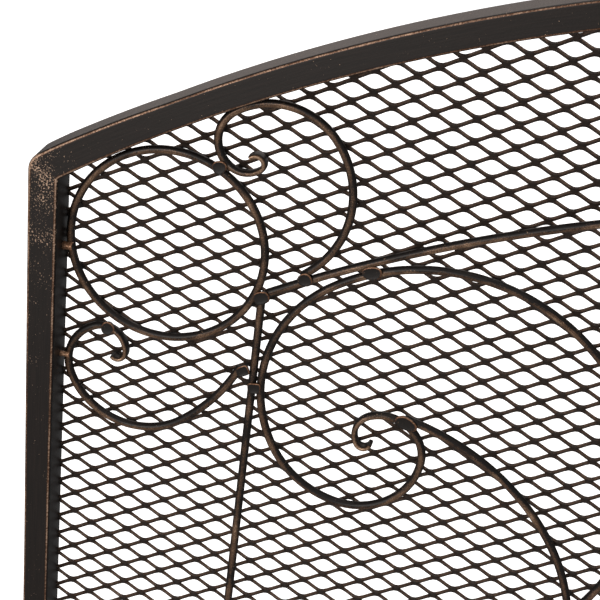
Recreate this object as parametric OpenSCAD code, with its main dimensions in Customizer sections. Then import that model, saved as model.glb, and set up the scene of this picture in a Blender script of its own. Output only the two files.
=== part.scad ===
// Arched fireplace screen: a rectangular-tube frame round an expanded-metal sheet, with round-rod
// scrollwork welded in front of the sheet, on two bolted feet.
// X runs along the screen, -Y is the front, Z is up. The origin is on the floor under the centre.

/* [Frame] */
// Width over the two posts
panel_w = 906; // [880:2:940]
// Height of the crown above the floor
panel_h = 787; // [770:1:800]
// Radius of the arched rail's outer edge
arch_r = 830; // [810:5:860]
// Width of the frame tube as seen from the front
tube_w = 12.7; // [12:0.1:14]
// Depth of the frame tube from front to back
tube_d = 19; // [18:0.5:20]
// Wall of the frame tube
tube_wall = 1.5; // [1.2:0.1:2]
// Radius of the tube's rounded corners
tube_round = 1.2; // [0.8:0.1:1.2]
// Height of the bottom rail's underside above the floor
rail_lift = 38; // [34:1:46]

/* [Mesh sheet] */
// Thickness of a plain sheet as heavy as the expanded metal
mesh_plain_t = 0.5; // [0.4:0.1:0.8]
// Depth of the sheet's middle behind the frame's front face
mesh_depth = 17.1; // [16.8:0.1:17.4]
// Overall thickness of the expanded sheet, strand twist included
mesh_full_t = 2.8; // [2.4:0.1:3]

/* [Scroll rods] */
// Diameter of the scroll rods
rod_d = 4; // [3.5:0.1:4.2]
// Radius of the corner ring, at the middle of its rod
ring_r = 46.6; // [45:0.1:47]
// Gap between the corner ring and the post
ring_post_gap = 0.7; // [0.5:0.1:1]
// Gap between the corner ring and the arched rail
ring_arch_gap = 2.3; // [1.5:0.1:3]
// Distance of the inner arch rod below the arched rail's outer edge
inner_offset = 101.5; // [101:0.5:103]
// How far the side rods lean outwards on their way down, in degrees
side_lean = 1.6; // [1.4:0.1:1.8]

/* [Weld pads] */
// Diameter of the round weld pads over the rod contacts
pad_d = 7; // [6:0.5:8]
// Thickness of a weld pad
pad_t = 1.4; // [1:0.1:1.6]
// Diameter of the weld studs that tie the scrolls to the frame
stud_d = 2.8; // [2.4:0.1:3]

/* [Feet] */
// Width of the foot's flat bar
foot_w = 25; // [20:1:30]
// Thickness of the foot's flat bar
foot_t = 5; // [4:0.5:6]
// Height of the foot's raised middle, at its top face
foot_rise = 25; // [24:0.5:26]
// Diameter of the foot bolts
bolt_d = 6; // [6:1:6]
// Length of the plug welded into the end of each post
plug_l = 14; // [12:1:20]
// Diameter of the rubber pads
rubber_d = 18; // [14:1:20]
// Thickness of the rubber pads
rubber_t = 3; // [2:0.5:4]

/* [Hidden] */

iron = [0.17, 0.15, 0.14];
copper = [0.55, 0.36, 0.25];
steel = [0.55, 0.54, 0.52];
rubber = [0.08, 0.08, 0.08];

round_fn = 48;          // true circles at any value above 12
arch_fn = 240;          // the same, for the arch's long radius
curve_step = 15;        // one tube ring every 15 degrees of bend
tube_sides = 8;
corner_step = 30;       // each rounded tube corner is three flats
big = 2000;             // longer than anything in the screen
weld_gap = 0.3;         // left between two rods where weld metal joins them

half_w = panel_w / 2;
post_x = half_w - tube_w / 2;
inner_x = half_w - tube_w;
arch_z = panel_h - arch_r;
front_y = -tube_d / 2;
arch_in_r = arch_r - tube_w;
corner_out = [half_w, arch_z + sqrt(pow(arch_r, 2) - pow(half_w, 2))];
corner_in = [inner_x, arch_z + sqrt(pow(arch_in_r, 2) - pow(inner_x, 2))];
mitre = atan2(corner_out[1] - corner_in[1], corner_out[0] - corner_in[0]);
mesh_y = front_y + mesh_depth;
rod_y = mesh_y - mesh_full_t / 2 - rod_d / 2;
rail_top = rail_lift + tube_w;

knot_gap = 1.5;         // from the side rod's middle to the inner arch rod's end
rail_spare = 2;         // degrees of arch that the mitre cuts away at each end
ring_x = inner_x - ring_post_gap - rod_d / 2 - ring_r;
ring_reach = arch_in_r - ring_arch_gap - rod_d / 2 - ring_r;
ring_z = arch_z + sqrt(pow(ring_reach, 2) - pow(ring_x, 2));
inner_r = arch_r - inner_offset;
side_x = ring_x - ring_r;
knot_x = side_x - knot_gap;
knot_z = arch_z + sqrt(pow(inner_r, 2) - pow(knot_x, 2));
side_top = knot_z - rod_d;
side_len = (side_top - rail_top - weld_gap) / cos(side_lean);

// Scrolls as chains of [radius, bend]: a positive bend turns left, a bend of 0 is a straight run.
// Each starts at a point given from the middle of the left corner ring.
upper_path = [[3.8, -190], [12.5, -96], [16.2, -88], [34.7, -90], [46.4, -84]];
lower_path = [[3.5, 144], [11.5, 113], [20.8, 90], [36.6, 106], [89, 27]];
spiral = [[3.6, -140], [10, -101], [19.5, -117], [33, -96.5], [48, -48.5], [67, -85.5], [96, -62]];
big_path = concat(spiral, [[103.5, -97]]);
stem_path = [[119, -41], [105, -20], [250, -14]];
heart_path = [[300, -60], [71, -180], [38, -100], [20, -110], [9, -110], [3.6, -120]];
// The base scroll is a smaller big scroll turned upside down, with its end laid along the stem
base_scale = 0.945;
base_path = [for (arc = concat(spiral, [[103.5, -61.5]])) [base_scale * arc[0], arc[1]]];
upper_from = [36.6, 49.6];
lower_from = [-23.3, -59.8];
big_from = [104.9, -83.4];
stem_from = [125.2, -69.9];
heart_from = [-2.2, 343];
base_from = [-300.8, 140.5];
// The way each sets off, in degrees from X towards Z
upper_head = 49;
lower_head = -56;
big_head = 262;
stem_head = 345;
heart_head = 150;

// The foot's middle line, from its centre to one end
foot_bend_r = 60;
foot_bend = 20;
foot_flat = 25;
foot_drop = foot_rise - foot_t - rubber_t;
foot_run = (foot_drop - 2 * foot_bend_r * (1 - cos(foot_bend))) / sin(foot_bend);
foot_path = [
    [foot_flat, 0], [foot_bend_r, -foot_bend], [foot_run, 0], [foot_bend_r, foot_bend], [foot_flat, 0]
];
bolt_clear = 0.3;
plug_clear = 0.05;
washer_d = 12;
washer_t = 1.2;
head_d = 11;            // across the flats of the bolt's hexagon
hex = 6;
head_t = 4;
rubber_inset = 12;
bolt_grip = 10;
head_top = foot_rise - foot_t - washer_t;
foot_end = 2 * foot_flat + foot_run * cos(foot_bend) + 2 * foot_bend_r * sin(foot_bend);
stud_l = 5;
stud_heights = [ring_z - 7, ring_z - 63.7];

// Where two rods touch, as [x, z] on the left half, and at the middle
pad_spots = [
    [-368, 659], [-344, 598.5], [-324.5, 611], [-294, 619.5], [-417, 570], [-350, 559.5],
    [-344, 551.5], [-270.5, 546.5], [-179.5, 460], [-178.5, 150], [-355.5, 123], [-90, 676.5]
];
middle_spots = [[0, 341]];

// The pose [point, heading] at the end of one arc or straight run
function step_on(p, h, r, bend) = bend == 0 ? [p + r * [cos(h), sin(h)], h] :
    let (s = sign(bend), mid = p + s * r * [-sin(h), cos(h)])
    [mid + s * r * [sin(h + bend), -cos(h + bend)], h + bend];

// All the poses along a path, one for each step of bend
function trail(path, p, h, i = 0) = i == len(path) ? [] :
    let (r = path[i][0], bend = path[i][1], n = max(1, ceil(abs(bend) / curve_step)))
    let (end = step_on(p, h, r, bend))
    concat([for (k = [1 : n]) k == n ? end : step_on(p, h, r, bend * k / n)],
        trail(path, end[0], end[1], i + 1));

function poses(path, from, head) = concat([[from, head]], trail(path, from, head));

// A round rod swept along poses in the plane of the scrollwork
module swept_rod(line) {
    n = len(line);
    rim = [for (pose = line) for (k = [0 : tube_sides - 1])
        let (turn = 360 * k / tube_sides, side = rod_d / 2 * cos(turn))
        [pose[0][0] - side * sin(pose[1]), rod_y + rod_d / 2 * sin(turn), pose[0][1] + side * cos(pose[1])]];
    walls = [for (i = [0 : n - 2]) for (k = [0 : tube_sides - 1])
        let (a = i * tube_sides + k, b = i * tube_sides + (k + 1) % tube_sides)
        [a, b, b + tube_sides, a + tube_sides]];
    first_cap = [for (k = [tube_sides - 1 : -1 : 0]) k];
    last_cap = [for (k = [0 : tube_sides - 1]) (n - 1) * tube_sides + k];
    polyhedron(rim, concat(walls, [first_cap, last_cap]), convexity = 8);
}

// Children are drawn for the left side, and mirrored for the right one
module on_side(s) {
    if (s < 0) children();
    else mirror([1, 0, 0]) children();
}

// The tube's section, w by d, with its corners rounded in flats
module tube_outline(w, d, r) {
    polygon([for (q = [0 : 3]) for (t = [0 : corner_step : 90])
        let (sx = (q == 0 || q == 3) ? 1 : -1, sy = q < 2 ? 1 : -1)
        [sx * (w / 2 - r) + r * cos(q * 90 + t), sy * (d / 2 - r) + r * sin(q * 90 + t)]]);
}

module tube_section() {
    difference() {
        tube_outline(tube_w, tube_d, tube_round);
        square([tube_w - 2 * tube_wall, tube_d - 2 * tube_wall], center = true);
    }
}

// Everything above the mitre on the left corner
module above_mitre() {
    translate([-corner_out[0], 0, corner_out[1]]) rotate([0, mitre, 0])
        translate([-big / 2, -big / 2, 0]) cube(big);
}

module post() {
    color(iron) difference() {
        translate([-post_x, 0, foot_rise]) linear_extrude(corner_out[1] - foot_rise + tube_w) tube_section();
        above_mitre();
    }
}

module arched_rail() {
    half_angle = asin(half_w / arch_r) + rail_spare;
    color(iron) intersection() {
        translate([0, 0, arch_z]) rotate([90, 0, 0]) rotate([0, 0, 90 - half_angle])
            rotate_extrude(angle = 2 * half_angle, $fn = arch_fn)
                translate([arch_r - tube_w / 2, 0]) tube_section();
        above_mitre();
        mirror([1, 0, 0]) above_mitre();
    }
}

module bottom_rail() {
    color(iron) translate([-inner_x, 0, rail_lift + tube_w / 2]) rotate([0, 90, 0])
        linear_extrude(2 * inner_x) tube_section();
}

module mesh_panel() {
    color(copper) translate([0, mesh_y + mesh_plain_t / 2, 0]) rotate([90, 0, 0])
        linear_extrude(mesh_plain_t) intersection() {
            translate([-inner_x, rail_top]) square([2 * inner_x, panel_h]);
            translate([0, arch_z]) circle(r = arch_in_r, $fn = arch_fn);
        }
}

module ring() {
    color(copper) translate([-ring_x, rod_y, ring_z]) rotate([90, 0, 0])
        rotate_extrude($fn = round_fn) translate([ring_r, 0]) circle(d = rod_d, $fn = round_fn);
}

module inner_arch_rod() {
    half_angle = asin(knot_x / inner_r);
    color(copper) translate([0, rod_y, arch_z]) rotate([90, 0, 0]) rotate([0, 0, 90 - half_angle])
        rotate_extrude(angle = 2 * half_angle, $fn = arch_fn)
            translate([inner_r, 0]) circle(d = rod_d, $fn = round_fn);
}

module side_rod() {
    color(copper) translate([-side_x, rod_y, side_top]) rotate([0, 180 + side_lean, 0])
        cylinder(h = side_len, d = rod_d, $fn = round_fn);
}

module corner_scroll(path, from, head) {
    color(copper) swept_rod(poses(path, [-ring_x, ring_z] + from, head));
}

module upper_scroll() {
    corner_scroll(upper_path, upper_from, upper_head);
}

module lower_scroll() {
    corner_scroll(lower_path, lower_from, lower_head);
}

module big_scroll() {
    corner_scroll(big_path, big_from, big_head);
}

module stem() {
    bent = poses(stem_path, [-ring_x, ring_z] + stem_from, stem_head);
    last = bent[len(bent) - 1];
    color(copper) swept_rod(concat(bent, [[[last[0][0], rail_top], last[1]]]));
}

module base_scroll() {
    color(copper) translate([base_from[0], 0, base_from[1]]) mirror([0, 0, 1])
        swept_rod(poses(base_path, [0, 0], big_head));
}

module center_rod() {
    color(copper) translate([0, rod_y, rail_top])
        cylinder(h = heart_from[1] - rail_top - rod_d, d = rod_d, $fn = round_fn);
}

module heart_scroll() {
    color(copper) swept_rod(poses(heart_path, heart_from, heart_head));
}

module foot() {
    line = poses(foot_path, [0, foot_rise - foot_t / 2], 0);
    upper = [for (pose = line) pose[0] + foot_t / 2 * [-sin(pose[1]), cos(pose[1])]];
    lower = [for (i = [len(line) - 1 : -1 : 0])
        line[i][0] - foot_t / 2 * [-sin(line[i][1]), cos(line[i][1])]];
    edge = concat(upper, lower);
    mirrored = [for (i = [len(edge) - 1 : -1 : 0]) [-edge[i][0], edge[i][1]]];
    color(iron) difference() {
        translate([-post_x - foot_w / 2, 0, 0]) rotate([90, 0, 90]) linear_extrude(foot_w)
            union() {
                polygon(edge);
                polygon(mirrored);
            }
        translate([-post_x, 0, 0])
            cylinder(h = foot_rise + foot_t, d = bolt_d + 2 * bolt_clear, $fn = round_fn);
    }
}

// Round pads of weld metal, pressed flat on the front of each contact between two rods
module pads_at(spots) {
    for (spot = spots)
        translate([spot[0], rod_y - rod_d / 2, spot[1]]) rotate([90, 0, 0])
            cylinder(h = pad_t, d = pad_d, $fn = round_fn);
}

module weld_pads() {
    color(copper) {
        for (s = [-1, 1]) on_side(s) pads_at(pad_spots);
        pads_at(middle_spots);
    }
}

// A short stud from the post's inner face to the front of a scroll
module weld_studs() {
    color(copper) for (s = [-1, 1]) on_side(s) for (z = stud_heights)
        translate([-inner_x, rod_y - rod_d / 2 - stud_d / 2, z]) rotate([0, 90, 0])
            cylinder(h = stud_l, d = stud_d, $fn = round_fn);
}

// A threaded plug that fills the lower end of each post
module post_plugs() {
    color(steel) for (s = [-1, 1]) on_side(s) difference() {
        translate([-post_x, 0, foot_rise]) linear_extrude(plug_l)
            square([tube_w - 2 * (tube_wall + plug_clear), tube_d - 2 * (tube_wall + plug_clear)], center = true);
        translate([-post_x, 0, 0])
            cylinder(h = foot_rise + 2 * plug_l, d = bolt_d + plug_clear, $fn = round_fn);
    }
}

module foot_bolts() {
    color(steel) for (s = [-1, 1]) on_side(s) translate([-post_x, 0, head_top]) {
        mirror([0, 0, 1]) cylinder(h = head_t, d = head_d / cos(180 / hex), $fn = hex);
        cylinder(h = foot_rise + bolt_grip - head_top, d = bolt_d, $fn = round_fn);
    }
}

module foot_washers() {
    color(steel) for (s = [-1, 1]) on_side(s) translate([-post_x, 0, head_top]) difference() {
        cylinder(h = washer_t, d = washer_d, $fn = round_fn);
        translate([0, 0, -washer_t]) cylinder(h = 3 * washer_t, d = bolt_d + bolt_clear, $fn = round_fn);
    }
}

module rubber_pads() {
    color(rubber) for (s = [-1, 1]) on_side(s) for (y = [-1, 1])
        translate([-post_x, y * (foot_end - rubber_inset), 0])
            cylinder(h = rubber_t, d = rubber_d, $fn = round_fn);
}

on_side(-1) post();  // left_post
on_side(1) post();  // right_post
arched_rail();
bottom_rail();
mesh_panel();
on_side(-1) ring();  // left_ring
on_side(1) ring();  // right_ring
inner_arch_rod();
on_side(-1) side_rod();  // left_side_rod
on_side(1) side_rod();  // right_side_rod
on_side(-1) upper_scroll();  // left_upper_scroll
on_side(1) upper_scroll();  // right_upper_scroll
on_side(-1) lower_scroll();  // left_lower_scroll
on_side(1) lower_scroll();  // right_lower_scroll
on_side(-1) big_scroll();  // left_big_scroll
on_side(1) big_scroll();  // right_big_scroll
on_side(-1) stem();  // left_stem
on_side(1) stem();  // right_stem
on_side(-1) base_scroll();  // left_base_scroll
on_side(1) base_scroll();  // right_base_scroll
on_side(-1) heart_scroll();  // left_heart_scroll
on_side(1) heart_scroll();  // right_heart_scroll
center_rod();
weld_pads();
weld_studs();
on_side(-1) foot();  // left_foot
on_side(1) foot();  // right_foot
post_plugs();
foot_bolts();
foot_washers();
rubber_pads();
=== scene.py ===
import bpy
import numpy as np
from mathutils import Matrix, Vector


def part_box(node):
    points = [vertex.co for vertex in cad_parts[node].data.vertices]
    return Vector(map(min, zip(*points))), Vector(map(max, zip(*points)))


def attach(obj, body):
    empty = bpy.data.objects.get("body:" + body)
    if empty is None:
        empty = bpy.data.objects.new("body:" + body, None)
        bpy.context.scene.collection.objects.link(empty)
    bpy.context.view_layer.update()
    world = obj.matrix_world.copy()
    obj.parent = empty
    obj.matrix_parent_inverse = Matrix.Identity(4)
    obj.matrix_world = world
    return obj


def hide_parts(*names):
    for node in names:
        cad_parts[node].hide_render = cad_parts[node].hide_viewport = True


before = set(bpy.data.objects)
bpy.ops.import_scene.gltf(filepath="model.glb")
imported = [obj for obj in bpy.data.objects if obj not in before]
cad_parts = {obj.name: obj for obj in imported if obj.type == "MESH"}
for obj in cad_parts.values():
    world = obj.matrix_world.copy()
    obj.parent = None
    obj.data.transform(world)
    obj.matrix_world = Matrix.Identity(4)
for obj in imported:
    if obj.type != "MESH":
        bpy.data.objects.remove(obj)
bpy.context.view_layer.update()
MM = 0.001

# --- Stage ------------------------------------------------------------------------------------
# The camera looks down at the upper left corner through a long lens, with a small roll. White paper
# on the floor curves up into a wall all round; three soft boxes light the screen, one from behind.
LOOK_FROM = (-0.2079, -0.6983, 0.9205)
LOOK_LEFT = 9.57
LOOK_DOWN = 24.26
ROLL = 5.25
LENS_MM = 101.5
STUDIO_GREY = 0.24
WARM_WHITE = (1.0, 0.94, 0.89)
WARM_GLOW = (1.0, 0.84, 0.76)
PAPER_GLOW = 0.95
PAPER_MIDDLE_R = 0.1
PAPER_FLAT_R = 5.0
PAPER_CURVE_R = 2.0
PAPER_TOP = 6.0
SOFT_BOXES = {
    # name: (place, aim, side in metres, watts, colour)
    "box_above": ((0.1, 0.35, 2.7), (-0.1, 0.1, 0.4), 2.2, 24.0, WARM_WHITE),
    "box_front": ((-1.2, -2.5, 0.95), (-0.3, 0.0, 0.5), 0.7, 24.0, WARM_WHITE),
    "box_behind": ((-0.5, 2.4, 1.65), (-0.3, 0.0, 0.7), 2.9, 17.5, WARM_GLOW),
}


def turned(azimuth, tilt, roll):
    """Rotation about Z by azimuth, then about the turned X by tilt, then about the line of sight by roll."""
    return (
        Matrix.Rotation(np.radians(azimuth), 4, "Z")
        @ Matrix.Rotation(np.radians(tilt), 4, "X")
        @ Matrix.Rotation(np.radians(roll), 4, "Z")
    )


def linear(hex_colour):
    """An sRGB hex colour as linear red, green, blue and alpha 1."""
    srgb = np.array([int(hex_colour[i : i + 2], 16) for i in (1, 3, 5)]) / 255
    light = np.where(srgb <= 0.04045, srgb / 12.92, ((srgb + 0.055) / 1.055) ** 2.4)
    return (*light.tolist(), 1.0)


def add_node(material, kind, settings=None, inputs=None):
    """One node: settings are its own properties, inputs are socket values or other nodes' outputs."""
    node = material.node_tree.nodes.new(kind)
    for key, value in (settings or {}).items():
        setattr(node, key, value)
    for key, value in (inputs or {}).items():
        if isinstance(value, bpy.types.NodeSocket):
            material.node_tree.links.new(value, node.inputs[key])
        else:
            node.inputs[key].default_value = value
    return node


def empty_material(name):
    """A node material with its preset nodes removed."""
    material = bpy.data.materials.new(name)
    material.use_nodes = True
    material.node_tree.nodes.clear()
    return material


def close_material(material, shader):
    """The shader, which takes the values or sockets in shader as its inputs, and the output."""
    surface = add_node(material, "ShaderNodeBsdfPrincipled", inputs=shader)
    add_node(material, "ShaderNodeOutputMaterial", inputs={"Surface": surface.outputs["BSDF"]})


camera_data = bpy.data.cameras.new("camera")
camera_data.lens = LENS_MM
camera_data.clip_start = 0.05
camera_data.clip_end = 50.0
camera = bpy.data.objects.new("camera", camera_data)
camera.matrix_world = Matrix.Translation(LOOK_FROM) @ turned(LOOK_LEFT, 90 - LOOK_DOWN, ROLL)
bpy.context.scene.collection.objects.link(camera)
bpy.context.scene.camera = camera

for box_name, (place, aim, side, watts, colour) in SOFT_BOXES.items():
    lamp = bpy.data.lights.new(box_name, "AREA")
    lamp.size = side
    lamp.energy = watts
    lamp.color = colour
    lamp_object = bpy.data.objects.new(box_name, lamp)
    lamp_object.location = place
    lamp_object.rotation_euler = (Vector(aim) - Vector(place)).to_track_quat("-Z", "Y").to_euler()
    lamp_object.visible_camera = False
    bpy.context.scene.collection.objects.link(lamp_object)

world = bpy.data.worlds.new("studio")
world.use_nodes = True
world.node_tree.nodes["Background"].inputs["Color"].default_value = (1, 1, 1, 1)
world.node_tree.nodes["Background"].inputs["Strength"].default_value = STUDIO_GREY
bpy.context.scene.world = world
bpy.context.scene.view_settings.view_transform = "Standard"


def paper_bowl(name, rim=96, steps=12):
    """Rings of points: one small flat ring in the middle, the edge of the flat floor, a quarter circle
    that turns up, and the top of the wall. Quads join the rings, and one face closes the middle."""
    turn = np.linspace(0, np.pi / 2, steps)
    curve = PAPER_FLAT_R + PAPER_CURVE_R * np.sin(turn)
    radius = np.concatenate([[PAPER_MIDDLE_R], curve, curve[-1:]])
    height = np.concatenate([[0.0], PAPER_CURVE_R * (1 - np.cos(turn)), [PAPER_TOP]])
    around = 2 * np.pi * np.arange(rim) / rim
    points = np.stack(
        [
            radius[:, None] * np.cos(around),
            radius[:, None] * np.sin(around),
            np.broadcast_to(height[:, None], (len(radius), rim)),
        ],
        2,
    )
    i, k = np.meshgrid(np.arange(len(radius) - 1), np.arange(rim), indexing="ij")
    here, beside = (i * rim + k).ravel(), (i * rim + (k + 1) % rim).ravel()
    quads = np.stack([here, here + rim, beside + rim, beside], 1)
    mesh = bpy.data.meshes.new(name)
    mesh.from_pydata(points.reshape(-1, 3).tolist(), [], [*quads.tolist(), list(range(rim))])
    mesh.polygons.foreach_set("use_smooth", np.full(len(mesh.polygons), True))
    bowl = bpy.data.objects.new(name, mesh)
    bpy.context.scene.collection.objects.link(bowl)
    return bowl


floor = paper_bowl("floor")
# The paper's own glow doesn't light the iron or show in it, so the lamps alone shape the iron.
floor.visible_glossy = False
floor.visible_diffuse = False
# Uncoated white seamless paper, matte. It glows a little, so that it stays white behind the screen.
paper = empty_material("matte_white_paper")
paper_shader = {
    "Base Color": linear("#fbfbfb"),
    "Roughness": 0.9,
    "Emission Color": (1.0, 1.0, 1.0, 1.0),
    "Emission Strength": PAPER_GLOW,
}
close_material(paper, paper_shader)
floor.data.materials.append(paper)

# --- Frame tube -------------------------------------------------------------------------------
# Rectangular steel tube, 12.7 by 19 mm: two posts and an arched rail mitred and welded at the
# corners, the outside of each corner ground round, and a straight rail between the posts below.
post_low, post_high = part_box("left_post")
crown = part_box("arched_rail")[1].z
rail_low, rail_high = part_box("bottom_rail")
TUBE_W = post_high.x - post_low.x
TUBE_D = post_high.y - post_low.y
HALF_W = -post_low.x
INNER_X = HALF_W - TUBE_W
ARCH_R = 830 * MM
ARCH_Z = crown - ARCH_R
TUBE_ROUND = 1.3 * MM
CORNER_ROUND = 8.0 * MM
CORNER_FILLET = 2.2 * MM
SKIN_DEPTH = 3.2 * MM
# How far the bright rubbing reaches from a corner, on the corner itself, the post and the rail.
CORNER_WEAR = 7 * MM
POST_WEAR = 75 * MM
RAIL_WEAR = 20 * MM
# The bottom rail is handled a little, all along.
BOTTOM_WORN = 0.1
# The welded corner stands out by SWELL, and falls back over these lengths down the post, in from its
# inner face, and across the mitre.
SWELL = 1.7 * MM
SWELL_DOWN = 215 * MM
SWELL_IN = 50 * MM
SWELL_TURN = 8 * MM
RAIL_STEP = 8 * MM
# Where the points on a flat lie beside a rounded edge, and rings beside a corner, in mm.
BESIDE_ROUND = (1.3, 0.4)
BESIDE_CORNER = (0, 0.6, 1.2, 1.8, 2.5, 3.3, 4.2, 5.2, 6.5, 8, 10)


def skin(name, points, faces, uv, edge, worn):
    """A mesh piece on the body. uv has a pair in metres for each corner of each face, along the piece
    and round it; edge and worn have a value for each point, which the finish reads."""
    mesh = bpy.data.meshes.new(name)
    mesh.from_pydata(points.tolist(), [], faces)
    mesh.uv_layers.new(name="along_around").data.foreach_set("uv", uv.astype(np.float32).ravel())
    for label, values in (("edge", edge), ("worn", worn)):
        spread = values.astype(np.float32).ravel()
        mesh.attributes.new(label, "FLOAT", "POINT").data.foreach_set("value", spread)
    mesh.update()
    piece = bpy.data.objects.new(name, mesh)
    bpy.context.scene.collection.objects.link(piece)
    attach(piece, "root")
    return piece


def fitted(piece, finish, node_name):
    """Gives a piece its finish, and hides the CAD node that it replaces."""
    piece.data.materials.append(finish)
    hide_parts(node_name)


def swept(name, rings, along, around, edge, worn, loop=False, smooth=True):
    """A closed skin over rings[i, k], a grid of points: i runs along the piece and k round it.
    The last k joins the first; the ends are capped, or the last i joins the first in a loop.
    UV is (along[i], around[k]) in metres. edge and worn are stored at each point for the finish."""
    n, m = rings.shape[:2]
    i, k = np.meshgrid(np.arange(n if loop else n - 1), np.arange(m), indexing="ij")
    i, k = i.ravel(), k.ravel()
    ahead, beside = (i + 1) % n, (k + 1) % m
    quads = np.stack([i * m + k, i * m + beside, ahead * m + beside, ahead * m + k], 1)
    u = np.stack([along[i], along[i], along[i + 1], along[i + 1]], 1)
    v = np.stack([around[k], around[k + 1], around[k + 1], around[k]], 1)
    points = rings.reshape(-1, 3)
    a, b, c, d = (points[quads[:, j]] for j in range(4))
    volume = np.einsum("ij,ij->", a, np.cross(b - a, c - a) + np.cross(c - a, d - a))
    if volume < 0:
        quads, u, v = quads[:, ::-1], u[:, ::-1], v[:, ::-1]
    faces = quads.tolist()
    uv = np.stack([u.ravel(), v.ravel()], 1)
    if not loop:
        first, last = np.arange(m), (n - 1) * m + np.arange(m)
        first, last = (first[::-1], last) if volume > 0 else (first, last[::-1])
        faces += [first.tolist(), last.tolist()]
        cap_uv = np.stack([np.full(m, along[0]), around[:m]], 1)
        uv = np.concatenate([uv, cap_uv, cap_uv + (along[-1] - along[0], 0)])
    edge, worn = (np.broadcast_to(values, (n, m)) for values in (edge, worn))
    piece = skin(name, points, faces, uv, edge, worn)
    shading = np.full(len(faces), smooth)
    shading[len(quads) :] = False
    piece.data.polygons.foreach_set("use_smooth", shading)
    piece.data.update()
    return piece


def box_section(width, depth, radius, steps=7):
    """A rounded rectangle: four quarter circles, each with two more points on the flats beside it.
    Returns the points (across, y) and how far round each lies."""
    turn = np.linspace(0, np.pi / 2, steps)
    beside = np.array(BESIDE_ROUND) * MM
    arc = radius * np.stack([np.cos(turn), np.sin(turn)], 1)
    before = np.stack([np.full(2, radius), -beside], 1)
    corner = np.concatenate([before, arc, before[::-1, ::-1]])
    corner += (width / 2 - radius, depth / 2 - radius)
    flip = corner[::-1] * (-1, 1)
    points = np.concatenate([corner, flip, -corner, -flip])
    sides = np.linalg.norm(np.diff(points, axis=0, append=points[:1]), axis=1)
    return points, np.concatenate([[0], np.cumsum(sides)])


# How exposed the eleven points of a corner are, from its side face to its front face: 1 where it is
# rubbed bright and painted with a highlight, below 0 where painted shade lies dark beside that line.
FRONT_EDGE = np.array([0, -0.9, -0.9, -0.8, -0.4, 0.6, 1.1, 0.9, 0.3, 0, 0])
PLAIN_EDGE = np.array([0, 0, 0.1, 0.3, 0.5, 0.6, 0.5, 0.3, 0.1, 0, 0])
section, section_round = box_section(TUBE_W, TUBE_D, TUBE_ROUND)
section_edge = np.concatenate([PLAIN_EDGE, PLAIN_EDGE, FRONT_EDGE, FRONT_EDGE[::-1]])
section_front = section[:, 1] < -TUBE_D / 2 + TUBE_ROUND
tube_skin = TUBE_W / 2 - section[:, 0]

corner_z = ARCH_Z + np.sqrt(ARCH_R**2 - HALF_W**2)
inner_r = ARCH_R - TUBE_W
corner_in_z = ARCH_Z + np.sqrt(inner_r**2 - INNER_X**2)
mitre_slope = (corner_z - corner_in_z) / TUBE_W


def dressed(points, depth):
    """Rounds the left and right corners. A point whose direction from the rounding circle's centre
    lies between the two faces' normals is moved to that circle, less its own depth below the skin.
    The inside corner is filled the same way, by a circle on the open side. Then the outside swells a
    little, as the weld left it: outwards by SWELL, less with depth and with distance from the corner.
    The way outwards turns smoothly across the mitre, from level on the post to the rail's normal."""
    x, z = np.abs(points[..., 0]), points[..., 2]
    depth = np.broadcast_to(depth, x.shape)
    away = np.maximum((corner_z - z) / SWELL_DOWN, (INNER_X - x) / SWELL_IN)
    swell = SWELL * np.clip(1 - np.maximum(away, 0), 0, 1) * (1 - depth / TUBE_W)
    for radius, way, deep in ((CORNER_ROUND, 1, depth), (CORNER_FILLET, -1, TUBE_W - depth)):
        face_x, face_r = (HALF_W, ARCH_R) if way > 0 else (INNER_X, inner_r)
        cx = face_x - radius
        cz = ARCH_Z + np.sqrt((face_r - radius) ** 2 - cx**2)
        dx, dz = x - cx, z - cz
        far = np.maximum(np.hypot(dx, dz), 1e-9)
        between = (dz > 0) & (dx * (cz - ARCH_Z) > dz * cx) & (deep < SKIN_DEPTH)
        goal = radius - way * deep
        outside = far > goal if way > 0 else far > 0
        scale = np.where(between & outside, goal / far, 1)
        x, z = cx + dx * scale, cz + dz * scale
    mitre_angle = np.arctan(mitre_slope)
    past_mitre = np.cos(mitre_angle) * (z - corner_z) - np.sin(mitre_angle) * (x - HALF_W)
    share = np.clip(past_mitre / SWELL_TURN, -1, 1)
    lean = mitre_angle * (1 + 1.5 * share - 0.5 * share**3)
    moved = points.copy()
    moved[..., 0] = np.copysign(x + swell * np.cos(lean), points[..., 0])
    moved[..., 2] = z + swell * np.sin(lean)
    return moved


def handled(points, reach):
    """1 on the front near the two upper corners, fading by the square of the distance over reach,
    and twice as much close to the corner itself, where the most coat is gone."""
    far = np.hypot(np.abs(points[..., 0]) - HALF_W, points[..., 2] - corner_z)
    return (np.exp(-((far / reach) ** 2)) + np.exp(-((far / CORNER_WEAR) ** 2))) * section_front


close_steps = np.array(BESIDE_CORNER) * MM
post_len = corner_z - post_low.z
post_steps = np.concatenate([close_steps, np.geomspace(14 * MM, post_len, 24)])


def post(side):
    """The section carried straight up; near the top each ring leans a little more, and the last
    lies in the mitre: height = low end + share of the way * (mitre height - low end)."""
    x = side * (HALF_W - tube_skin)
    top = corner_z - tube_skin * mitre_slope
    share = 1 - post_steps[::-1, None] / post_len
    z = post_low.z + share * (top - post_low.z)
    rings = np.stack([np.broadcast_to(x, z.shape), np.broadcast_to(section[:, 1], z.shape), z], 2)
    rings = dressed(rings, tube_skin)
    return rings, post_low.z + share[:, 0] * post_len


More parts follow.
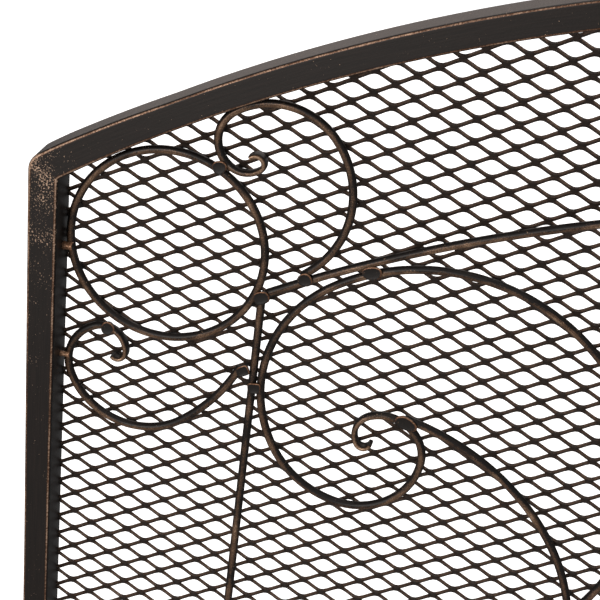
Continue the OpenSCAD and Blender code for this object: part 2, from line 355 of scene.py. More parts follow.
def arched_rail():
    """The section carried round the arch: each point keeps its own radius, and its angle goes from
    one mitre to the other, where mitre angle is that of the mitre line at the point's radius."""
    radius = ARCH_R - tube_skin
    run, rise = TUBE_W, corner_z - corner_in_z
    a = run**2 + rise**2
    b = INNER_X * run + (corner_in_z - ARCH_Z) * rise
    c = INNER_X**2 + (corner_in_z - ARCH_Z) ** 2 - radius**2
    t = (-b + np.sqrt(b**2 - a * c)) / a
    limit = np.arctan2(INNER_X + t * run, corner_in_z - ARCH_Z + t * rise)
    half_len = ARCH_R * np.arctan2(HALF_W, corner_z - ARCH_Z)
    near = np.concatenate([close_steps, np.arange(2 * RAIL_STEP, half_len, RAIL_STEP)])
    share = 1 - near / half_len
    share = np.concatenate([-share, share[::-1]])
    angle = share[:, None] * limit
    y = np.broadcast_to(section[:, 1], angle.shape)
    rings = np.stack([radius * np.sin(angle), y, ARCH_Z + radius * np.cos(angle)], 2)
    return dressed(rings, tube_skin), share * half_len


# The finish is judged from one sum: how rubbed a place is, with the painted highlight and shade on
# the edges and rod crests counted in. An edge adds most to it, then come fine grain, streaks drawn
# along the piece and handling. The copper wash comes in over WASH, and turns bright over SHINE, where
# the painted highlight also lies. Chips are fine grains lost from the coat, most where hands were.
RUB_EDGE, RUB_WORN, RUB_GRAIN, RUB_STREAKS = 0.62, 0.1, 0.8, 0.3
WASH = (0.30, 0.66)
SHINE = (0.60, 0.98)
CHIP_MM, CHIP_PATCH_MM = 0.8, 9.0
CHIP_WORN, CHIP_UNEVEN = 0.116, 0.25
CHIP = (0.71, 0.76)
# Streaks about 22 mm long and 0.6 mm wide, as the drawn tube and rod have.
STREAKS_A_METRE = (45.0, 1700.0, 1.0)
# Near black: painted shade, laid where the edge value falls below 0, beside the bright edges.
PAINTED_SHADE_LINE = "#080706"
WASH_METAL = 0.4
COAT_ROUGH, GRAIN_ROUGH, WASH_ROUGH = 0.44, 0.2, -0.1
COAT_SPECULAR = 0.4
COAT_RELIEF = 0.15 * MM


def rubbed_iron(name, coat, rubbed, bright, patch_mm, grain_mm, uneven, bias, chipped):
    """Steel under a near-black bronze powder coat, rubbed back by hand so that a copper wash shows on
    the edges and in fine chips. The coat is satin with a fine grain; the wash is smoother and warmer.
    coat is its two dark tones, rubbed and bright the copper's two, bright also the painted highlight on
    edges and rod crests; patch_mm and grain_mm are the sizes of its patches and grain; uneven, bias and
    chipped say how patchy, rubbed and chipped it is."""
    material = empty_material(name)
    place = add_node(material, "ShaderNodeTexCoord").outputs["Object"]
    lengthwise = add_node(material, "ShaderNodeUVMap", {"uv_map": "along_around"}).outputs["UV"]
    edge = add_node(material, "ShaderNodeAttribute", {"attribute_name": "edge"}).outputs["Fac"]
    worn = add_node(material, "ShaderNodeAttribute", {"attribute_name": "worn"}).outputs["Fac"]

    def noise(where, scale, detail, rough=0.55):
        settings = {"Vector": where, "Scale": scale, "Detail": detail, "Roughness": rough}
        return add_node(material, "ShaderNodeTexNoise", inputs=settings).outputs["Fac"]

    def maths(kind, a, b):
        node = add_node(material, "ShaderNodeMath", {"operation": kind}, {0: a, 1: b})
        return node.outputs["Value"]

    def plus(total, value, gain, middle=0.0):
        return maths("ADD", total, maths("MULTIPLY", maths("SUBTRACT", value, middle), gain))

    def ramp(value, low, high):
        settings = {"Value": value, "From Min": low, "From Max": high}
        node = add_node(material, "ShaderNodeMapRange", {"interpolation_type": "SMOOTHSTEP"}, settings)
        return node.outputs["Result"]

    def mixed(share, a, b):
        node = add_node(material, "ShaderNodeMix", {"data_type": "RGBA"}, {0: share, 6: a, 7: b})
        return node.outputs[2]

    patches = noise(place, 1000 / patch_mm, 3.0)
    grain = noise(place, 1000 / grain_mm, 2.0, 0.7)
    stretch = {"Vector": lengthwise, "Scale": STREAKS_A_METRE}
    drawn = add_node(material, "ShaderNodeMapping", inputs=stretch).outputs["Vector"]
    streaks = noise(drawn, 1.0, 2.0, 0.6)
    rub_and_light = plus(maths("MULTIPLY", edge, RUB_EDGE), worn, RUB_WORN)
    rub_and_light = plus(rub_and_light, patches, uneven, 0.5)
    rub_and_light = plus(rub_and_light, grain, RUB_GRAIN, 0.5)
    rub_and_light = plus(rub_and_light, streaks, RUB_STREAKS, 0.5)
    rub_and_light = maths("ADD", rub_and_light, bias)
    wash = ramp(rub_and_light, *WASH)
    shine = ramp(rub_and_light, *SHINE)
    chips = plus(noise(place, 1000 / CHIP_MM, 3.0, 0.6), worn, CHIP_WORN)
    chips = plus(chips, noise(place, 1000 / CHIP_PATCH_MM, 1.0), CHIP_UNEVEN, 0.5)
    chips = maths("MULTIPLY", ramp(chips, *CHIP), chipped)
    base = mixed(ramp(streaks, 0.3, 0.75), linear(coat[0]), linear(coat[1]))
    # Where the edge value falls below 0, painted shade darkens the coat towards near black.
    base = mixed(ramp(maths("MULTIPLY", edge, -1.0), 0.0, 0.4), base, linear(PAINTED_SHADE_LINE))
    colour = mixed(wash, base, mixed(shine, linear(rubbed), linear(bright)))
    height = plus(plus(grain, streaks, 0.6), chips, -1.0)
    bump = {"Strength": 0.25, "Distance": COAT_RELIEF, "Height": height}
    shader = {
        "Base Color": mixed(chips, colour, linear(bright)),
        "Metallic": maths("MULTIPLY", maths("MAXIMUM", wash, chips), WASH_METAL),
        "Roughness": plus(plus(COAT_ROUGH, grain, GRAIN_ROUGH, 0.5), wash, WASH_ROUGH),
        "Specular IOR Level": COAT_SPECULAR,
        "Normal": add_node(material, "ShaderNodeBump", inputs=bump).outputs["Normal"],
    }
    close_material(material, shader)
    return material


# Deep brown-black on the flats, with a copper line on the edges, rubbed and painted with a highlight,
# and light chips by the corners.
tube_finish = rubbed_iron(
    "bronze_powder_coat_rubbed_tube", ("#1d1714", "#2a211d"), "#74503a", "#ecc8ac", 26, 0.8, 0.6, 0.10, 0.9
)


def tube(node_name, rings, along, worn):
    """A piece of the frame's tube, from its rings and how far along it each lies."""
    piece = swept(node_name + "_tube", rings, along, section_round, section_edge, worn)
    fitted(piece, tube_finish, node_name)


for node_name, side in (("left_post", -1), ("right_post", 1)):
    post_rings, post_along = post(side)
    tube(node_name, post_rings, post_along, handled(post_rings, POST_WEAR))

rail_rings, rail_along = arched_rail()
tube("arched_rail", rail_rings, rail_along, handled(rail_rings, RAIL_WEAR))

bottom_x = np.linspace(-INNER_X, INNER_X, 60)
bottom_z = (rail_low.z + rail_high.z) / 2 + section[:, 0]
bottom_rings = np.stack(np.broadcast_arrays(bottom_x[:, None], section[:, 1], bottom_z), 2)
tube("bottom_rail", bottom_rings, bottom_x, BOTTOM_WORN)

# --- Expanded metal sheet ---------------------------------------------------------------------
# One steel sheet slit and pulled open into diamond cells, 18.5 by 10.4 mm from knot to knot. Each
# strand is a bar leaning in the sheet; it goes from a knot above to a knot below and back.
sheet_low, sheet_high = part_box("mesh_panel")
CELL_X = 18.5 * MM
CELL_Z = 10.412 * MM
CELL_AT = (-256.605 * MM, 712.2 * MM)
OPENING_HALF = 8.3 * MM
OPENING_SLOPE = 0.503
OPENING_ROUND = 2.7 * MM
STRAND_T = 1.35 * MM
STRAND_LEAN = np.radians(30)
END_HIDDEN = 3.5 * MM
SHEET_BANDS = 5
SHEET_WORN = 0.1
# A strand's four edges are its upper front, upper back, lower back and lower front. How rubbed each
# is along the strand, with painted light on the upper edges and painted shade on the lower back one,
# and how much less at a knot.
STRAND_RUB_AND_LIGHT = (0.95, 0.75, -0.15, 0.05)
KNOT_LESS = (0.45, 0.25, 0.1, 0.1)
sheet_y = (sheet_low.y + sheet_high.y) / 2


def opening_edge(s):
    """Half the height of a diamond opening at the distance s from its middle: a straight slope down
    to 0 at OPENING_HALF, and a parabola over the top, OPENING_ROUND to either side."""
    s = np.abs(s)
    top = OPENING_HALF - OPENING_ROUND / 2 - s**2 / (2 * OPENING_ROUND)
    return OPENING_SLOPE * np.where(s < OPENING_ROUND, top, np.clip(OPENING_HALF - s, 0, None))


def sheet_band(name, waves):
    """Strands as waves over x. A strand fills the space from the opening under its crests up to the
    openings over its troughs, with its upper edge leaning to the front and its crests lying back.
    A strand is kept only where it lies inside the frame, and each stretch is capped."""
    half = np.array([0, CELL_X / 2 - OPENING_HALF, OPENING_ROUND])
    half = np.concatenate([half, [CELL_X / 4], (CELL_X / 2 - half)[:0:-1]])
    period = np.concatenate([half, CELL_X / 2 + half])
    first = np.floor((-INNER_X - CELL_AT[0]) / CELL_X) - 1
    count = int(2 * INNER_X / CELL_X) + 4
    x = (CELL_AT[0] + CELL_X * (first + np.arange(count))[:, None] + period).ravel()
    x = x + (waves % 2)[:, None] * CELL_X / 2
    from_crest = np.tile(np.minimum(period, CELL_X - period), count)
    low = opening_edge(from_crest)
    high = CELL_Z / 2 - opening_edge(CELL_X / 2 - from_crest)
    lean = np.tan(STRAND_LEAN)
    crest_share = (high + low - CELL_Z / 2) / (CELL_Z / 2 - (high[0] - low[0]))
    y = sheet_y + lean * (high[0] - low[0]) / 2 * crest_share
    z = CELL_AT[1] + waves[:, None] / 2 * CELL_Z + (low + high) / 2
    line = np.stack([x, np.broadcast_to(y, x.shape), z], -1)
    wide = (high - low)[:, None] / 2 * np.array([0.0, -lean, 1.0])
    thick = STRAND_T / 2 * np.array([0.0, np.cos(STRAND_LEAN), np.sin(STRAND_LEAN)])
    upper, lower = line + wide, line - wide
    corners = np.stack([upper - thick, upper + thick, lower + thick, lower - thick], 2)
    inside = (np.abs(x) < INNER_X + END_HIDDEN) & (z > rail_high.z - END_HIDDEN)
    inside &= np.hypot(x, z - ARCH_Z) < inner_r + END_HIDDEN
    both = inside[:, :-1] & inside[:, 1:]
    none = np.zeros((len(waves), 1), bool)
    joined, entered = np.hstack([both, none]), np.hstack([none, both])
    kept = joined | entered
    number = (np.cumsum(kept) - 1).reshape(kept.shape) * 4
    here = number[joined]
    beyond = here + 4
    sides = [np.stack([here + k, here + (k + 1) % 4, beyond + (k + 1) % 4, beyond + k], 1) for k in range(4)]
    starts, ends = number[kept & ~entered], number[kept & ~joined]
    caps = [np.stack([starts + k for k in (3, 2, 1, 0)], 1), np.stack([ends + k for k in range(4)], 1)]
    points = corners[kept].reshape(-1, 3)
    faces = np.concatenate(sides + caps)
    a, b, c = (points[faces[:, j]] for j in range(3))
    if np.einsum("ij,ij->", a - points.mean(0), np.cross(b - a, c - a)) < 0:
        faces = faces[:, ::-1]
    flat_uv = points[faces.ravel()][:, [0, 2]]
    knot = np.abs(crest_share)[:, None] ** 6
    # Upper edges get rubbing and painted light, the lower back edge painted shade.
    rub_and_light = np.array(STRAND_RUB_AND_LIGHT) - knot * np.array(KNOT_LESS)
    rub_and_light = np.broadcast_to(rub_and_light, (*kept.shape, 4))[kept]
    return skin(name, points, faces.tolist(), flat_uv, rub_and_light, np.full(len(points), SHEET_WORN))


# The same coat on the sheet is greyer, and its strand edges, rubbed and painted as lit, are a dull
# brown.
sheet_finish = rubbed_iron(
    "bronze_powder_coat_expanded_metal", ("#2b221d", "#40342d"), "#7d6454", "#a98b76", 14, 0.6, 0.35, 0.0, 0.4
)
wave_first = int(np.floor((rail_high.z - CELL_AT[1]) / CELL_Z * 2))
wave_last = int(np.ceil((crown - CELL_AT[1]) / CELL_Z * 2))
for band, waves in enumerate(np.array_split(np.arange(wave_first, wave_last), SHEET_BANDS)):
    piece = sheet_band(f"expanded_mesh_band_{band + 1}", waves)
    fitted(piece, sheet_finish, "mesh_panel")

# --- Scroll rods ------------------------------------------------------------------------------
# 4 mm round steel rod, bent cold and welded in front of the sheet. Each scroll starts in a small
# hammered curl and opens out as a chain of arcs; rings are butt-welded hoops.
ring_low, ring_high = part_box("left_ring")
ROD_R = (ring_high.y - ring_low.y) / 2
ROD_Y = (ring_low.y + ring_high.y) / 2
RING_X = -(ring_low.x + ring_high.x) / 2
RING_Z = (ring_low.z + ring_high.z) / 2
RING_R = (ring_high.x - ring_low.x) / 2 - ROD_R
ROD_SIDES = 18
ROD_STEP = 2.2 * MM
ROD_CHAMFER = 0.35 * MM
ROD_WORN = 0.2
# The hammered end of a curl: its length, how quickly it flattens, how thin and how wide it gets beside
# the round rod, how square, and how rubbed its front is.
CURL_LEN = 30 * MM
CURL_EASE = 0.8
HAMMERED = (0.55, 1.8)
CURL_SQUARE = 0.45
CURL_RUB = 1.3
CURL_WORN = 0.3
# The way, to the front and down, that the rods' copper line faces, rubbed there and painted with a
# highlight, and how narrow that line is.
RUB_AND_HIGHLIGHT_FROM = (0.9, 0.42)
RUB_AND_HIGHLIGHT_POWER = 2.1
RING_STEPS = 140
# The arcs of each scroll from its curl outwards, of the stem, and of the heart towards its curl, as
# (radius in mm, bend in degrees).
UPPER = [(3.8, -190), (12.5, -96), (16.2, -88), (34.7, -90), (46.4, -84)]
LOWER = [(3.5, 144), (11.5, 113), (20.8, 90), (36.6, 106), (89, 27)]
BIG = [(3.6, -140), (10, -101), (19.5, -117), (33, -96.5), (48, -48.5), (67, -85.5), (96, -62), (103.5, -97)]
STEM = [(119, -41), (105, -20), (250, -14)]
HEART = [(300, -60), (71, -180), (38, -100), (20, -110), (9, -110), (3.6, -120)]
BASE_SCALE = 0.945
BASE = [(BASE_SCALE * r, bend) for r, bend in BIG[:7]] + [(BASE_SCALE * 103.5, -61.5)]
# Where each of these starts, in mm, and its heading there in degrees. The first four are measured
# from the ring's centre, the others from the middle of the floor.
UPPER_FROM = np.array([36.6, 49.6]), 49
LOWER_FROM = np.array([-23.3, -59.8]), -56
BIG_FROM = np.array([104.9, -83.4]), 262
STEM_FROM = np.array([125.2, -69.9]), 345
BASE_FROM = np.array([-300.8, 140.5]), 262
HEART_FROM = np.array([-2.2, 343]), 150
# Short straight ends beyond the arcs.
UPPER_END = 5 * MM
LOWER_END = 2 * MM
STEM_START = 6 * MM
# How far the square-cut end of the arch rod reaches beyond its middle line, in rod radii.
ARCH_END_OUT = 0.83

rod_turn = 2 * np.pi * np.arange(ROD_SIDES) / ROD_SIDES
rod_around = np.arange(ROD_SIDES + 1) * 2 * np.pi * ROD_R / ROD_SIDES


def bent_line(start, heading, arcs):
    """A chain of arcs in the plane of the scrolls, as points (x, z) and headings in degrees. Each arc
    is (radius in mm, bend in degrees), bending left where positive: its points are its centre plus
    the radius turned through the bend in equal steps."""
    point = np.array(start, float)
    points, headings = [point[None]], [np.array([heading], float)]
    for radius, bend in arcs:
        r, way = radius * MM, np.sign(bend)
        steps = int(max(abs(bend) / 5, r * np.radians(abs(bend)) / ROD_STEP)) + 1
        turn = np.radians(heading + bend * np.arange(1, steps + 1) / steps)
        begin = np.radians(heading)
        centre = point + way * r * np.array([-np.sin(begin), np.cos(begin)])
        arc = centre + way * r * np.stack([np.sin(turn), -np.cos(turn)], 1)
        points.append(arc)
        headings.append(np.degrees(turn))
        point, heading = arc[-1], heading + bend
    return np.concatenate(points), np.concatenate(headings)


def extended(line, headings, before, after):
    """The line with a straight run added at each end, as long as given."""
    ways = np.stack([np.cos(np.radians(headings)), np.sin(np.radians(headings))], 1)
    if before:
        line = np.concatenate([[line[0] - before * ways[0]], line])
        headings = np.concatenate([headings[:1], headings])
    if after:
        line = np.concatenate([line, [line[-1] + after * ways[-1]]])
        headings = np.concatenate([headings, headings[-1:]])
    return line, headings


def rubbed_and_highlit_side(turn, normal_z):
    """How far a point of a rod faces the front and a little below, where it was rubbed to copper and where
    a painted highlight lies: a power of the cosine between that way and the rod's own outward direction
    there, and 0 beyond it.
    turn is the point's place round the rod, and normal_z how far the rod's side faces up."""
    facing = RUB_AND_HIGHLIGHT_FROM[0] * np.sin(turn) - RUB_AND_HIGHLIGHT_FROM[1] * np.cos(turn) * normal_z
    return np.clip(facing, 0, 1) ** RUB_AND_HIGHLIGHT_POWER


def rod(name, node, line, headings, side=-1, curl=None):
    """A circle carried along a line in the plane of the scrolls, square to it. Towards a curl it turns
    into a rounded bar, as hammered: thinner in the plane, and wider across it on the front only, so
    that its back stays in line with the round rod's. Both ends have a small chamfer."""
    far = np.concatenate([[0], np.cumsum(np.linalg.norm(np.diff(line, axis=0), axis=1))])
    to_curl = {None: np.full_like(far, CURL_LEN), "start": far, "end": far[-1] - far}[curl]
    flat = np.clip(1 - to_curl / CURL_LEN, 0, 1) ** CURL_EASE
    ends = [0, *range(len(far)), len(far) - 1]
    heading = np.radians(headings)
    ahead = np.stack([np.cos(heading), np.sin(heading)], 1)
    normal = np.stack([-np.sin(heading), np.cos(heading)], 1)
    place = line[ends]
    place[1] += ahead[0] * ROD_CHAMFER
    place[-2] -= ahead[-1] * ROD_CHAMFER
    size = np.full(len(ends), ROD_R)
    size[[0, -1]] -= ROD_CHAMFER
    flat = flat[ends][:, None]
    squared = 1 - CURL_SQUARE * flat
    thin = size[:, None] * (1 + (HAMMERED[0] - 1) * flat)
    wide = size[:, None] * (1 + (HAMMERED[1] - 1) * flat)
    radial = thin * np.sign(np.cos(rod_turn)) * np.abs(np.cos(rod_turn)) ** squared
    depth = wide * np.sign(np.sin(rod_turn)) * np.abs(np.sin(rod_turn)) ** squared
    depth += ROD_R * (HAMMERED[1] - 1) * flat
    across = place[:, None] + normal[ends][:, None] * radial[..., None]
    rings = np.stack([-side * across[..., 0], ROD_Y - depth, across[..., 1]], 2)
    # Copper rubbing and a painted highlight on the rod's front and lower side.
    rub_and_light = rubbed_and_highlit_side(rod_turn, normal[ends][:, 1:])
    rub_and_light = rub_and_light + (np.clip(np.sin(rod_turn), 0, 1) ** 3 * CURL_RUB - rub_and_light) * flat
    rub_and_light[[0, -1]] = 0
    along = far[ends] + np.linspace(0, 1e-4, len(ends))
    piece = swept(name, rings, along, rod_around, rub_and_light, ROD_WORN + CURL_WORN * flat)
    fitted(piece, rod_finish, node)


# The rods are the darkest of the iron, with a brown to copper line where the hand ran along them and
# a painted highlight lies.
rod_finish = rubbed_iron(
    "bronze_powder_coat_rubbed_rod", ("#14100e", "#221a17"), "#7c604b", "#e3bd9c", 18, 0.6, 1.1, 0.0, 0.6
)
ring_turn = 2 * np.pi * np.arange(RING_STEPS) / RING_STEPS
for side, node_name in ((-1, "left_ring"), (1, "right_ring")):
    reach = RING_R + ROD_R * np.cos(rod_turn)
    ring_rings = np.stack(
        np.broadcast_arrays(
            side * RING_X + reach * np.cos(ring_turn)[:, None],
            ROD_Y - ROD_R * np.sin(rod_turn),
            RING_Z + reach * np.sin(ring_turn)[:, None],
        ),
        2,
    )
    # The ring's copper line: rubbing and a painted highlight on its front and lower side.
    crest = rubbed_and_highlit_side(rod_turn, np.sin(ring_turn)[:, None])
    ring_along = RING_R * 2 * np.pi * np.arange(RING_STEPS + 1) / RING_STEPS
    piece = swept(node_name + "_rod", ring_rings, ring_along, rod_around, crest, ROD_WORN, loop=True)
    fitted(piece, rod_finish, node_name)

ring_at = np.array([-RING_X, RING_Z])
rail_top = rail_high.z
for side, hand in ((-1, "left"), (1, "right")):
    scroll, heading = bent_line(ring_at + UPPER_FROM[0] * MM, UPPER_FROM[1], UPPER)
    scroll, heading = extended(scroll, heading, 0, UPPER_END)
    rod(f"{hand}_upper_scroll_rod", f"{hand}_upper_scroll", scroll, heading, side, "start")
    scroll, heading = bent_line(ring_at + LOWER_FROM[0] * MM, LOWER_FROM[1], LOWER)
    scroll, heading = extended(scroll, heading, 0, LOWER_END)
    rod(f"{hand}_lower_scroll_rod", f"{hand}_lower_scroll", scroll, heading, side, "start")
    scroll, heading = bent_line(ring_at + BIG_FROM[0] * MM, BIG_FROM[1], BIG)
    rod(f"{hand}_big_scroll_rod", f"{hand}_big_scroll", scroll, heading, side, "start")
    stem, heading = bent_line(ring_at + STEM_FROM[0] * MM, STEM_FROM[1], STEM)
    stem, heading = extended(stem, heading, STEM_START, 0)
    drop = np.arange(stem[-1][1] - ROD_STEP, rail_top, -ROD_STEP)
    straight = np.stack([np.full(len(drop), stem[-1][0]), drop], 1)
    rod(
        f"{hand}_stem_rod",
        f"{hand}_stem",
        np.concatenate([stem, straight, [[stem[-1][0], rail_top]]]),
        np.concatenate([heading, np.full(len(drop) + 1, heading[-1])]),
        side,
    )
    # The base scroll is bent like the large one and turned over.
    scroll, heading = bent_line(np.zeros(2), BASE_FROM[1], BASE)
    scroll = BASE_FROM[0] * MM + scroll * (1, -1)
    rod(f"{hand}_base_scroll_rod", f"{hand}_base_scroll", scroll, -heading, side, "start")
    scroll, heading = bent_line(HEART_FROM[0] * MM, HEART_FROM[1], HEART)
    rod(f"{hand}_heart_scroll_rod", f"{hand}_heart_scroll", scroll, heading, side, "end")
    side_low, side_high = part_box(f"{hand}_side_rod")
    lean_low = abs(side_high.x if side > 0 else side_low.x) - ROD_R
    lean_high = abs(side_low.x if side > 0 else side_high.x) + ROD_R
    share = np.linspace(0, 1, 200)[:, None]
    straight = np.array([-lean_high, side_high.z]) * (1 - share) + np.array([-lean_low, side_low.z]) * share
    slant = np.degrees(np.arctan2(side_low.z - side_high.z, lean_high - lean_low))
    rod(f"{hand}_side_rod_bar", f"{hand}_side_rod", straight, np.full(200, slant), side)

arch_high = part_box("inner_arch_rod")[1]
inner_arch_r = arch_high.z - ROD_R - ARCH_Z
half_angle = np.arcsin((arch_high.x - ROD_R * ARCH_END_OUT) / inner_arch_r)
sweep_angle = np.linspace(-half_angle, half_angle, 340)
arch_line = np.stack([inner_arch_r * np.sin(sweep_angle), ARCH_Z + inner_arch_r * np.cos(sweep_angle)], 1)
rod("inner_arch_rod_bar", "inner_arch_rod", arch_line, -np.degrees(sweep_angle))
centre_low, centre_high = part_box("center_rod")
centre_z = np.linspace(centre_low.z, centre_high.z, 130)
rod("center_rod_bar", "center_rod", np.stack([0 * centre_z, centre_z], 1), np.full(130, 90.0))

# --- Welds ------------------------------------------------------------------------------------
# Where two rods touch, a nugget of weld metal is pressed flat from the front into a pad. Most are
# round, some are drawn out along the rods or square from the tool. The rim is rubbed to copper.
PAD_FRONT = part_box("weld_pads")[0].y
PADS = [
    # x, z and half length, half width in mm, turn in degrees, squareness from 0 to 1
    (-368, 659, 3.4, 3.3, 0, 0.0),
    (-344, 598.5, 3.7, 3.3, 25, 0.5),
    (-324.5, 611, 3.5, 3.3, 15, 0.0),
    (-294, 619.5, 4.7, 3.2, 14, 0.15),
    (-417, 570, 3.4, 3.3, 0, 0.0),
    (-350, 559.5, 3.2, 2.6, 28, 0.7),
    (-344, 551.5, 3.1, 2.8, 6, 0.8),
    (-270.5, 546.5, 5.6, 3.3, -16, 0.1),
    (-179.5, 460, 3.4, 3.2, 0, 0.0),
    (-178.5, 150, 3.5, 3.2, 30, 0.1),
    (-355.5, 123, 3.3, 3.3, 0, 0.0),
    (-90, 676.5, 4.4, 3.2, 6, 0.1),
]
MIDDLE_PAD = (0, 341, 3.6, 3.6, 0, 0.0)
PAD_SIDES = 32
PAD_WORN = 0.3
PAD_SQUARE = 0.55
PAD_LOBES = (0.04, 0.035)
# Ring by ring from the rods' middle plane to the face: share of the height, share of the outline, rub.
PAD_RISE = (0.0, 0.45, 0.80, 0.92, 0.98, 1.0, 0.97, 0.94, 0.93)
PAD_REACH = (0.72, 0.86, 0.99, 1.0, 0.96, 0.88, 0.74, 0.45, 0.05)
PAD_RIM = (0.0, 0.0, 0.3, 0.8, 1.0, 0.8, -0.1, 0.0, 0.0)
RIM_RUBBED_FROM = np.radians(70)


def pressed_pad(name, x, z, long, wide, angle, squareness, seed):
    """Rings stacked from the rods' middle plane to the pad's face. The outline is an ellipse, pushed
    out to a rounded square by its power; it grows to the rim, rounds over it and closes on the face,
    which is dished a little. Shallow lobes, turned by the seed, keep it from being perfect."""
    rise, reach, rim = (np.array(values)[:, None] for values in (PAD_RISE, PAD_REACH, PAD_RIM))
    turn = 2 * np.pi * np.arange(PAD_SIDES) / PAD_SIDES
    power = 1 - PAD_SQUARE * squareness
    lobes = 1 + PAD_LOBES[0] * np.sin(3 * turn + 2.1 * seed) + PAD_LOBES[1] * np.sin(2 * turn + 1.3 * seed)
    out = lobes * np.sign(np.cos(turn)) * np.abs(np.cos(turn)) ** power * long * MM
    up = lobes * np.sign(np.sin(turn)) * np.abs(np.sin(turn)) ** power * wide * MM
    lean = np.radians(angle)
    shape = np.stack([out * np.cos(lean) - up * np.sin(lean), out * np.sin(lean) + up * np.cos(lean)])
    y = ROD_Y + (PAD_FRONT - ROD_Y) * rise
    ring_x, ring_z = x * MM + reach * shape[0], z * MM + reach * shape[1]
    rings = np.stack(np.broadcast_arrays(ring_x, y, ring_z), 2)
    rubbed = 0.55 + 0.45 * np.cos(turn + lean - RIM_RUBBED_FROM)
    around = np.arange(PAD_SIDES + 1) * 2 * np.pi * wide * MM / PAD_SIDES
    return swept(name, rings, np.linspace(0, wide * MM, len(rise)), around, rim * rubbed, PAD_WORN)


# The coat lies thinner on the welds, and rubs back to a redder copper.
weld_finish = rubbed_iron(
    "bronze_powder_coat_on_weld", ("#1b1715", "#2a2421"), "#8a6046", "#e6b894", 12, 0.6, 0.4, 0.14, 0.5
)
mirrored = [(-x, z, long, wide, -angle, square) for x, z, long, wide, angle, square in PADS]
for number, pad in enumerate([*PADS, MIDDLE_PAD, *mirrored]):
    piece = pressed_pad(f"weld_pad_{number + 1:02d}", *pad, number)
    fitted(piece, weld_finish, "weld_pads")

# Short beads of weld tie the ring and the lower scroll to the post. Each has a rounded head, pushed
# up to the front of the rod.
STUD_LEN = 5.4 * MM
STUD_ROOT = 0.4 * MM
STUD_SIDES = 16
# How far its middle lies before the front of the rod, in its own radii.
STUD_FORWARD = 0.35
STUD_RUB, STUD_HEAD_RUB, STUD_WORN = 0.9, -0.3, 0.6
# How far below the ring's centre each one is, and its radius.
STUDS = ((7 * MM, 2.1 * MM), (63.7 * MM, 1.4 * MM))
# Places along it from -1, in the post, to 1, its head, and the radius there as a share of its own.
STUD_AT = (-1, -0.98, -0.9, -0.7, -0.35, 0, 0.35, 0.7, 0.9, 0.98, 1.0)
STUD_THICK = (0.3, 0.62, 0.9, 1.03, 0.9, 0.84, 0.9, 1.06, 0.95, 0.66, 0.2)


def stud(name, side, z, thick):
    """Circles along x across the gap: radius = thick times its share in the table, which is fatter
    towards both ends and rounds off at them."""
    t = np.array(STUD_AT)[:, None]
    radius = thick * np.array(STUD_THICK)[:, None]
    x = side * (INNER_X + STUD_ROOT - STUD_LEN * (t + 1) / 2)
    turn = 2 * np.pi * np.arange(STUD_SIDES) / STUD_SIDES
    y = ROD_Y - ROD_R - thick * STUD_FORWARD
    rings = np.stack(np.broadcast_arrays(x, y + radius * np.sin(turn), z + radius * np.cos(turn)), 2)
    around = np.arange(STUD_SIDES + 1) * 2 * np.pi * thick / STUD_SIDES
    rub_and_light = np.where(t < 0.95, STUD_RUB, STUD_HEAD_RUB)
    return swept(name, rings, (t[:, 0] + 1) * STUD_LEN / 2, around, rub_and_light, STUD_WORN)


for side, hand in ((-1, "left"), (1, "right")):
    for number, (drop, thick) in enumerate(STUDS):
        piece = stud(f"{hand}_weld_stud_{number + 1}", side, RING_Z - drop, thick)
        fitted(piece, weld_finish, "weld_studs")

# --- Feet -------------------------------------------------------------------------------------
# A flat bar bent down at both ends carries each post. A bolt goes up through it into a threaded
# plug in the tube, and a rubber pad sits under each end.
foot_low, foot_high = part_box("left_foot")
FOOT_T = 5 * MM
FOOT_FLAT = 25
FOOT_BEND_R = 60
FOOT_BEND = 20
FOOT_EDGE = 1.0 * MM
FOOT_END_IN = 0.5 * MM
foot_w = foot_high.x - foot_low.x
foot_drop = foot_high.z - FOOT_T - foot_low.z
bend_drop = 2 * FOOT_BEND_R * MM * (1 - np.cos(np.radians(FOOT_BEND)))
foot_run = (foot_drop - bend_drop) / np.sin(np.radians(FOOT_BEND)) / MM
# From the middle outwards: (length or radius in mm, bend in degrees), straight where the bend is 0.
foot_slope = [(FOOT_BEND_R, -FOOT_BEND), (foot_run, 0), (FOOT_BEND_R, FOOT_BEND)]
FOOT_PATH = [(FOOT_FLAT, 0), *foot_slope, (FOOT_FLAT, 0)]


def foot_line():
    """The bar's middle line from its centre to one end: flat, bent down, straight, bent back, flat."""
    at, heading = np.array([0.0, foot_high.z - FOOT_T / 2]), 0.0
    line, headings = [at[None]], [np.array([heading])]
    for size, bend in FOOT_PATH:
        if bend:
            part, turn = bent_line(at, heading, [(size, bend)])
        else:
            way = np.array([np.cos(np.radians(heading)), np.sin(np.radians(heading))])
            part = at + np.linspace(0, 1, 5)[:, None] * size * MM * way
            turn = np.full(5, heading)
        line.append(part[1:])
        headings.append(turn[1:])
        at, heading = part[-1], heading + bend
    return np.concatenate(line), np.concatenate(headings)


